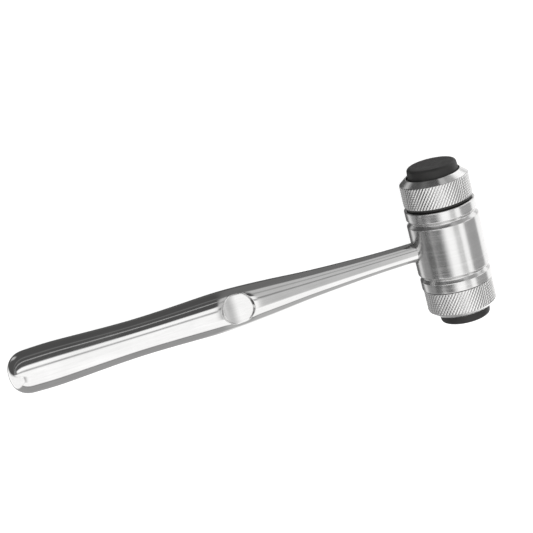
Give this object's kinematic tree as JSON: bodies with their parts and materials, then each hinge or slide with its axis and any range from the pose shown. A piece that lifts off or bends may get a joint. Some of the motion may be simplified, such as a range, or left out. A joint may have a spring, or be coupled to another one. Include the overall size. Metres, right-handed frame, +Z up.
{
  "type": "reflex hammer",
  "caption": "Small two-faced hammer with a tapered hollow steel handle, a cylindrical steel head and rubber face pads held by knurled screw collars.",
  "frame": {"origin": "on the ground, under the middle of the object's bounding box, with the hammer lying on its side", "axes": "+X along the handle from tail to head, +Y along the head's axis towards the left pad, +Z up"},
  "size_m": [0.1907, 0.0632, 0.0284],
  "materials": {
    "polished_steel": "polished stainless steel with fine turning lines",
    "satin_steel": "stainless steel polished along its length",
    "knurled_steel": "diamond-knurled stainless steel with a turned lip",
    "stud_steel": "plain turned steel",
    "pad_rubber": "matt black moulded rubber",
    "seal_rubber": "black rubber"
  },
  "bodies": {
    "hammer": {"head_barrel": "polished_steel", "left_seal_ring": "seal_rubber", "right_seal_ring": "seal_rubber", "handle_shell": "satin_steel", "tail_cap": "satin_steel", "neck_stud": "stud_steel"},
    "left_pad": {"left_face_pad": "pad_rubber"},
    "left_collar": {"left_collar": "knurled_steel"},
    "right_pad": {"right_face_pad": "pad_rubber"},
    "right_collar": {"right_collar": "knurled_steel"}
  },
  "joints": [
    {"name": "left_pad_travel", "type": "slide", "parent": "hammer", "child": "left_pad", "axis": [0, 1, 0], "range_m": [-0.001, 0.005]},
    {"name": "left_collar_turn", "type": "hinge", "parent": "left_pad", "child": "left_collar", "pos_m": [0.08115, 0.025, 0.0142], "axis": [0, 1, 0], "range_deg": [-360, 1800]},
    {"name": "right_pad_travel", "type": "slide", "parent": "hammer", "child": "right_pad", "axis": [0, -1, 0], "range_m": [0, 0.006]},
    {"name": "right_collar_turn", "type": "hinge", "parent": "right_pad", "child": "right_collar", "pos_m": [0.08115, -0.025, 0.0142], "axis": [0, -1, 0], "range_deg": [0, 2160]}
  ],
  "couplings": [
    {"joint": "left_collar_turn", "follows": "left_pad_travel", "rad_per_m": 6283.2},
    {"joint": "right_collar_turn", "follows": "right_pad_travel", "rad_per_m": 6283.2}
  ]
}
